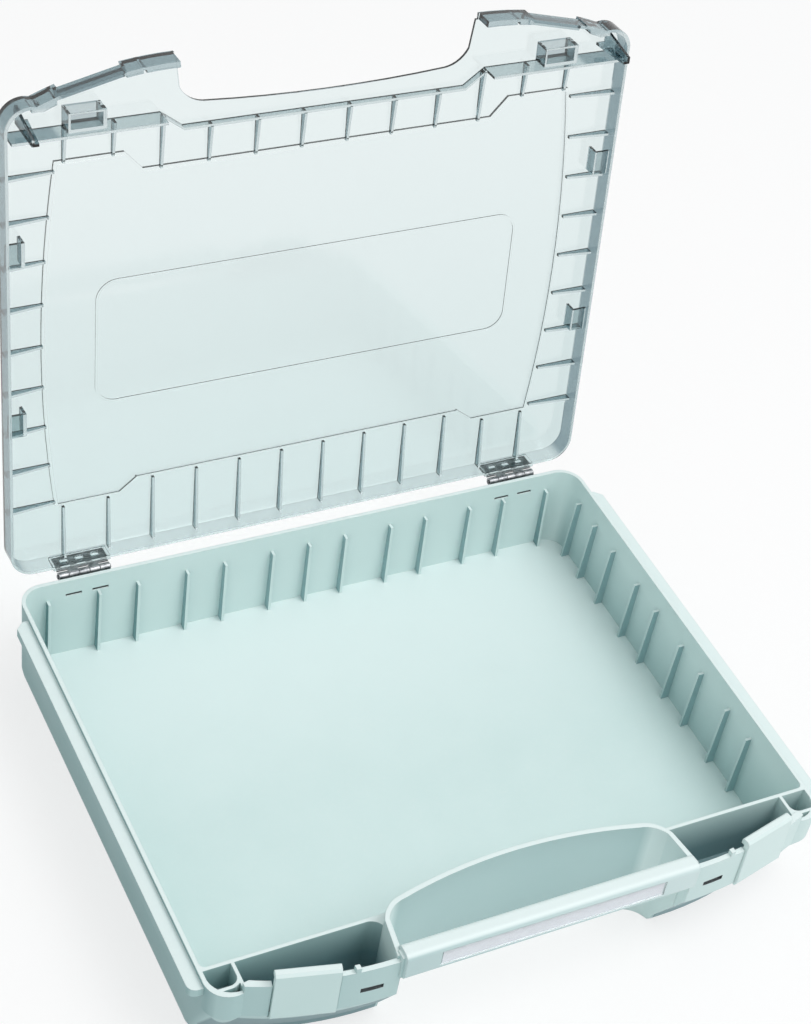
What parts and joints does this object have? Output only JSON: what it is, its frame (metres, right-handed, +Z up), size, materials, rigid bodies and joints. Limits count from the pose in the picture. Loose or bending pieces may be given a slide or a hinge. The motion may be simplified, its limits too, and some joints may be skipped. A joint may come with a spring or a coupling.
{
  "type": "tool case",
  "caption": "Flat carrying case for tools and small parts: open tray, clear hinged lid, handle across the front and snap latches.",
  "frame": {"origin": "on the tray's flat underside, on the case's middle plane and about midway from front to back", "axes": "+X to the right seen from the handle, +Y towards the hinges, +Z up"},
  "size_m": [0.367, 0.3606, 0.3592],
  "materials": {
    "tray_plastic": "matte",
    "latch_plastic": "matte",
    "grip_plastic": "satin",
    "card": "matte",
    "clear_window": "gloss",
    "clear_lid": "gloss",
    "hinge_steel": "brushed",
    "pin_steel": "drawn"
  },
  "bodies": {
    "tray": {"base_tray": "tray_plastic", "handle_grip": "grip_plastic", "label_card": "card", "label_window": "clear_window", "left_latch_pin": "pin_steel", "right_latch_pin": "pin_steel", "left_hinge_tray_leaf": "hinge_steel", "right_hinge_tray_leaf": "hinge_steel", "left_hinge_pin": "pin_steel", "right_hinge_pin": "pin_steel"},
    "lid": {"lid_shell": "clear_lid", "left_hinge_lid_leaf": "hinge_steel", "right_hinge_lid_leaf": "hinge_steel"},
    "left_lever": {"left_latch": "latch_plastic"},
    "right_lever": {"right_latch": "latch_plastic"}
  },
  "joints": [
    {"name": "lid_hinge", "type": "hinge", "parent": "tray", "child": "lid", "pos_m": [0, 0.1522, 0.0563], "axis": [1, 0, 0], "range_deg": [0, 96.4]},
    {"name": "left_latch_pivot", "type": "hinge", "parent": "tray", "child": "left_lever", "pos_m": [-0.13075, -0.14845, 0.0416], "axis": [0.9725, -0.233, 0], "range_deg": [-5.4, 85]},
    {"name": "right_latch_pivot", "type": "hinge", "parent": "tray", "child": "right_lever", "pos_m": [0.13075, -0.14845, 0.0416], "axis": [0.9725, 0.233, 0], "range_deg": [-5.4, 85]}
  ]
}
